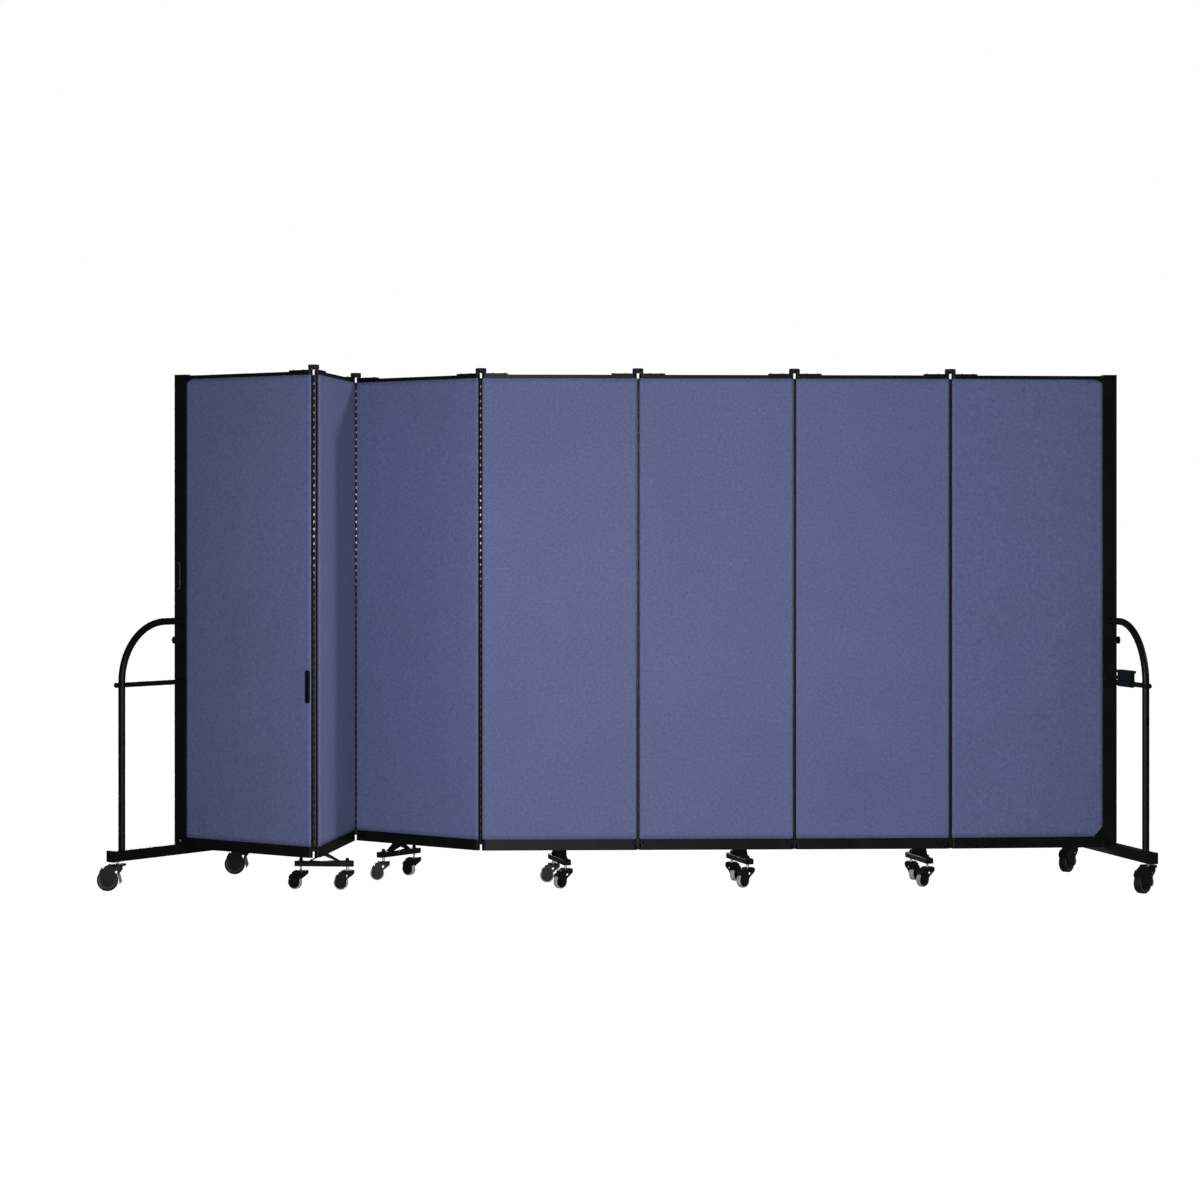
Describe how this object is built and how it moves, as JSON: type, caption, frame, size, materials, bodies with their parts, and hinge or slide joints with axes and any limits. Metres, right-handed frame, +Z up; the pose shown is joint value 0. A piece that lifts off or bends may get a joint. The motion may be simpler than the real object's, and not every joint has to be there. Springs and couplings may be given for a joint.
{
  "type": "folding room partition",
  "caption": "Free-standing accordion screen of fabric panels joined by double-pivot hinges, on swivel casters, with braced end frames.",
  "frame": {"origin": "on the floor under the middle of the overall box", "axes": "+X along the straight middle panels towards the end with the latch, +Y away from the viewer, +Z up"},
  "size_m": [3.7144, 0.7367, 1.8475],
  "materials": {
    "powder_coat": "satin black powder coat",
    "panel_fabric": "woven slate blue cloth",
    "hinge_black": "matte black",
    "caster_black": "satin black",
    "grey_tread": "dark grey tread",
    "black_tread": "black tread",
    "pedal_grey": "grey moulded"
  },
  "bodies": {
    "panel_1": {"frame_1": "powder_coat", "fabric_1": "panel_fabric", "end_frame_left": "powder_coat"},
    "panel_2": {"frame_2": "powder_coat", "fabric_2": "panel_fabric", "truck_2": "powder_coat"},
    "panel_3": {"frame_3": "powder_coat", "fabric_3": "panel_fabric", "truck_3": "powder_coat"},
    "panel_4": {"frame_4": "powder_coat", "fabric_4": "panel_fabric", "truck_4": "powder_coat"},
    "panel_5": {"frame_5": "powder_coat", "fabric_5": "panel_fabric", "truck_5": "powder_coat"},
    "panel_6": {"frame_6": "powder_coat", "fabric_6": "panel_fabric", "truck_6": "powder_coat"},
    "panel_7": {"frame_7": "powder_coat", "fabric_7": "panel_fabric", "end_frame_right": "powder_coat"},
    "hinge_12": {"hinge_12": "hinge_black"},
    "hinge_23": {"hinge_23": "hinge_black"},
    "hinge_34": {"hinge_34": "hinge_black"},
    "hinge_45": {"hinge_45": "hinge_black"},
    "hinge_56": {"hinge_56": "hinge_black"},
    "hinge_67": {"hinge_67": "hinge_black"},
    "fork_2_front": {"fork_2_front": "caster_black"},
    "wheel_2_front": {"wheel_2_front": "grey_tread"},
    "fork_2_rear": {"fork_2_rear": "caster_black"},
    "wheel_2_rear": {"wheel_2_rear": "grey_tread"},
    "fork_3_front": {"fork_3_front": "caster_black"},
    "wheel_3_front": {"wheel_3_front": "grey_tread"},
    "fork_3_rear": {"fork_3_rear": "caster_black"},
    "wheel_3_rear": {"wheel_3_rear": "grey_tread"},
    "fork_4_front": {"fork_4_front": "caster_black"},
    "wheel_4_front": {"wheel_4_front": "grey_tread"},
    "fork_4_rear": {"fork_4_rear": "caster_black"},
    "wheel_4_rear": {"wheel_4_rear": "grey_tread"},
    "fork_5_front": {"fork_5_front": "caster_black"},
    "wheel_5_front": {"wheel_5_front": "grey_tread"},
    "fork_5_rear": {"fork_5_rear": "caster_black"},
    "wheel_5_rear": {"wheel_5_rear": "grey_tread"},
    "fork_6_front": {"fork_6_front": "caster_black"},
    "wheel_6_front": {"wheel_6_front": "grey_tread"},
    "fork_6_rear": {"fork_6_rear": "caster_black"},
    "wheel_6_rear": {"wheel_6_rear": "grey_tread"},
    "fork_left_front": {"fork_left_front": "caster_black"},
    "wheel_left_front": {"wheel_left_front": "black_tread"},
    "brake_left_front": {"brake_left_front": "pedal_grey"},
    "fork_left_rear": {"fork_left_rear": "caster_black"},
    "wheel_left_rear": {"wheel_left_rear": "black_tread"},
    "brake_left_rear": {"brake_left_rear": "pedal_grey"},
    "fork_right_front": {"fork_right_front": "caster_black"},
    "wheel_right_front": {"wheel_right_front": "black_tread"},
    "brake_right_front": {"brake_right_front": "pedal_grey"},
    "fork_right_rear": {"fork_right_rear": "caster_black"},
    "wheel_right_rear": {"wheel_right_rear": "black_tread"},
    "brake_right_rear": {"brake_right_rear": "pedal_grey"},
    "latch": {"latch": "hinge_black"}
  },
  "joints": [
    {"name": "fold_34_near", "type": "hinge", "parent": "panel_4", "child": "hinge_34", "pos_m": [-0.48505, -0.0315, 0.15], "axis": [0, 0, -1], "range_deg": [-75, 67]},
    {"name": "fold_34_far", "type": "hinge", "parent": "hinge_34", "child": "panel_3", "pos_m": [-0.51291, -0.0218, 0.15], "axis": [0, 0, -1], "range_deg": [-75, 67]},
    {"name": "fold_45_near", "type": "hinge", "parent": "panel_4", "child": "hinge_45", "pos_m": [0.04845, -0.0315, 0.15], "axis": [0, 0, -1], "range_deg": [-68, 68]},
    {"name": "fold_45_far", "type": "hinge", "parent": "hinge_45", "child": "panel_5", "pos_m": [0.07795, -0.0315, 0.15], "axis": [0, 0, -1], "range_deg": [-68, 68]},
    {"name": "fold_23_near", "type": "hinge", "parent": "panel_3", "child": "hinge_23", "pos_m": [-0.93101, 0.30958, 0.15], "axis": [0, 0, 1], "range_deg": [-85, 31]},
    {"name": "fold_23_far", "type": "hinge", "parent": "hinge_23", "child": "panel_2", "pos_m": [-0.95886, 0.29986, 0.15], "axis": [0, 0, 1], "range_deg": [-85, 31]},
    {"name": "fold_56_near", "type": "hinge", "parent": "panel_5", "child": "hinge_56", "pos_m": [0.61145, -0.0315, 0.15], "axis": [0, 0, 1], "range_deg": [-75, 75]},
    {"name": "fold_56_far", "type": "hinge", "parent": "hinge_56", "child": "panel_6", "pos_m": [0.64095, -0.0315, 0.15], "axis": [0, 0, 1], "range_deg": [-75, 75]},
    {"name": "fold_12_near", "type": "hinge", "parent": "panel_2", "child": "hinge_12", "pos_m": [-1.07978, -0.21976, 0.15], "axis": [0, 0, -1], "range_deg": [-85, 21]},
    {"name": "fold_12_far", "type": "hinge", "parent": "hinge_12", "child": "panel_1", "pos_m": [-1.10737, -0.23019, 0.15], "axis": [0, 0, -1], "range_deg": [-85, 21]},
    {"name": "fold_67_near", "type": "hinge", "parent": "panel_6", "child": "hinge_67", "pos_m": [1.17445, -0.0315, 0.15], "axis": [0, 0, -1], "range_deg": [-68, 73]},
    {"name": "fold_67_far", "type": "hinge", "parent": "hinge_67", "child": "panel_7", "pos_m": [1.20394, -0.0308, 0.15], "axis": [0, 0, -1], "range_deg": [-68, 73]},
    {"name": "latch_rock", "type": "hinge", "parent": "panel_7", "child": "latch", "pos_m": [1.79622, -0.14084, 0.723], "axis": [-0.1771, 0.9842, 0], "range_deg": [-80, 80]},
    {"name": "pedal_left_front", "type": "hinge", "parent": "fork_left_front", "child": "brake_left_front", "pos_m": [-1.78119, -0.12956, 0.0655], "axis": [0.0872, -0.9962, 0], "range_deg": [0, 12]},
    {"name": "pedal_left_rear", "type": "hinge", "parent": "fork_left_rear", "child": "brake_left_rear", "pos_m": [-1.35289, 0.32937, 0.0655], "axis": [-0.0349, -0.9994, 0], "range_deg": [0, 12]},
    {"name": "pedal_right_front", "type": "hinge", "parent": "fork_right_front", "child": "brake_right_front", "pos_m": [1.82951, -0.31114, 0.0655], "axis": [0.6428, -0.766, 0], "range_deg": [0, 12]},
    {"name": "pedal_right_rear", "type": "hinge", "parent": "fork_right_rear", "child": "brake_right_rear", "pos_m": [1.71809, 0.30716, 0.0655], "axis": [0.7193, -0.6947, 0], "range_deg": [0, 12]},
    {"name": "swivel_2_front", "type": "hinge", "parent": "panel_2", "child": "fork_2_front", "pos_m": [-0.97573, -0.13465, 0.07], "axis": [0, 0, 1], "continuous": true},
    {"name": "swivel_2_rear", "type": "hinge", "parent": "panel_2", "child": "fork_2_rear", "pos_m": [-1.13947, -0.11426, 0.07], "axis": [0, 0, 1], "continuous": true},
    {"name": "swivel_3_front", "type": "hinge", "parent": "panel_3", "child": "fork_3_front", "pos_m": [-0.84483, 0.13641, 0.07], "axis": [0, 0, 1], "continuous": true},
    {"name": "swivel_3_rear", "type": "hinge", "parent": "panel_3", "child": "fork_3_rear", "pos_m": [-0.73146, 0.25629, 0.07], "axis": [0, 0, 1], "continuous": true},
    {"name": "swivel_4_front", "type": "hinge", "parent": "panel_4", "child": "fork_4_front", "pos_m": [-0.20256, -0.11248, 0.07], "axis": [0, 0, 1], "continuous": true},
    {"name": "swivel_4_rear", "type": "hinge", "parent": "panel_4", "child": "fork_4_rear", "pos_m": [-0.23404, 0.04948, 0.07], "axis": [0, 0, 1], "continuous": true},
    {"name": "swivel_5_front", "type": "hinge", "parent": "panel_5", "child": "fork_5_front", "pos_m": [0.4463, -0.1122, 0.07], "axis": [0, 0, 1], "continuous": true},
    {"name": "swivel_5_rear", "type": "hinge", "parent": "panel_5", "child": "fork_5_rear", "pos_m": [0.412, 0.0492, 0.07], "axis": [0, 0, 1], "continuous": true},
    {"name": "swivel_6_front", "type": "hinge", "parent": "panel_6", "child": "fork_6_front", "pos_m": [1.08951, -0.11298, 0.07], "axis": [0, 0, 1], "continuous": true},
    {"name": "swivel_6_rear", "type": "hinge", "parent": "panel_6", "child": "fork_6_rear", "pos_m": [1.06369, 0.04998, 0.07], "axis": [0, 0, 1], "continuous": true},
    {"name": "swivel_left_front", "type": "hinge", "parent": "panel_1", "child": "fork_left_front", "pos_m": [-1.78418, -0.12982, 0.096], "axis": [0, 0, 1], "continuous": true},
    {"name": "swivel_left_rear", "type": "hinge", "parent": "panel_1", "child": "fork_left_rear", "pos_m": [-1.35589, 0.32947, 0.096], "axis": [0, 0, 1], "continuous": true},
    {"name": "swivel_right_front", "type": "hinge", "parent": "panel_7", "child": "fork_right_front", "pos_m": [1.82721, -0.31307, 0.096], "axis": [0, 0, 1], "continuous": true},
    {"name": "swivel_right_rear", "type": "hinge", "parent": "panel_7", "child": "fork_right_rear", "pos_m": [1.716, 0.305, 0.096], "axis": [0, 0, 1], "continuous": true},
    {"name": "roll_2_front", "type": "hinge", "parent": "fork_2_front", "child": "wheel_2_front", "pos_m": [-0.99838, -0.13066, 0.025], "axis": [-0.1736, -0.9848, 0], "continuous": true},
    {"name": "roll_2_rear", "type": "hinge", "parent": "fork_2_rear", "child": "wheel_2_rear", "pos_m": [-1.16079, -0.10564, 0.025], "axis": [-0.3746, -0.9272, 0], "continuous": true},
    {"name": "roll_3_front", "type": "hinge", "parent": "fork_3_front", "child": "wheel_3_front", "pos_m": [-0.86783, 0.13641, 0.025], "axis": [0, -1, 0], "continuous": true},
    {"name": "roll_3_rear", "type": "hinge", "parent": "fork_3_rear", "child": "wheel_3_rear", "pos_m": [-0.7503, 0.26948, 0.025], "axis": [-0.5736, -0.8192, 0], "continuous": true},
    {"name": "roll_4_front", "type": "hinge", "parent": "fork_4_front", "child": "wheel_4_front", "pos_m": [-0.22206, -0.12467, 0.025], "axis": [0.5299, -0.848, 0], "continuous": true},
    {"name": "roll_4_rear", "type": "hinge", "parent": "fork_4_rear", "child": "wheel_4_rear", "pos_m": [-0.25703, 0.05029, 0.025], "axis": [-0.0349, -0.9994, 0], "continuous": true},
    {"name": "roll_5_front", "type": "hinge", "parent": "fork_5_front", "child": "wheel_5_front", "pos_m": [0.42746, -0.12539, 0.025], "axis": [0.5736, -0.8192, 0], "continuous": true},
    {"name": "roll_5_rear", "type": "hinge", "parent": "fork_5_rear", "child": "wheel_5_rear", "pos_m": [0.42678, 0.06682, 0.025], "axis": [-0.766, 0.6428, 0], "continuous": true},
    {"name": "roll_6_front", "type": "hinge", "parent": "fork_6_front", "child": "wheel_6_front", "pos_m": [1.07, -0.12517, 0.025], "axis": [0.5299, -0.848, 0], "continuous": true},
    {"name": "roll_6_rear", "type": "hinge", "parent": "fork_6_rear", "child": "wheel_6_rear", "pos_m": [1.07848, 0.0676, 0.025], "axis": [-0.766, 0.6428, 0], "continuous": true},
    {"name": "roll_left_front", "type": "hinge", "parent": "fork_left_front", "child": "wheel_left_front", "pos_m": [-1.81905, -0.13287, 0.0375], "axis": [0.0872, -0.9962, 0], "continuous": true},
    {"name": "roll_left_rear", "type": "hinge", "parent": "fork_left_rear", "child": "wheel_left_rear", "pos_m": [-1.39087, 0.33069, 0.0375], "axis": [-0.0349, -0.9994, 0], "continuous": true},
    {"name": "roll_right_front", "type": "hinge", "parent": "fork_right_front", "child": "wheel_right_front", "pos_m": [1.8004, -0.33557, 0.0375], "axis": [0.6428, -0.766, 0], "continuous": true},
    {"name": "roll_right_rear", "type": "hinge", "parent": "fork_right_rear", "child": "wheel_right_rear", "pos_m": [1.69169, 0.27983, 0.0375], "axis": [0.7193, -0.6947, 0], "continuous": true}
  ],
  "couplings": [
    {"joint": "fold_34_far", "follows": "fold_34_near", "ratio": 1},
    {"joint": "fold_45_far", "follows": "fold_45_near", "ratio": 1},
    {"joint": "fold_23_far", "follows": "fold_23_near", "ratio": 1},
    {"joint": "fold_56_far", "follows": "fold_56_near", "ratio": 1},
    {"joint": "fold_12_far", "follows": "fold_12_near", "ratio": 1},
    {"joint": "fold_67_far", "follows": "fold_67_near", "ratio": 1}
  ]
}
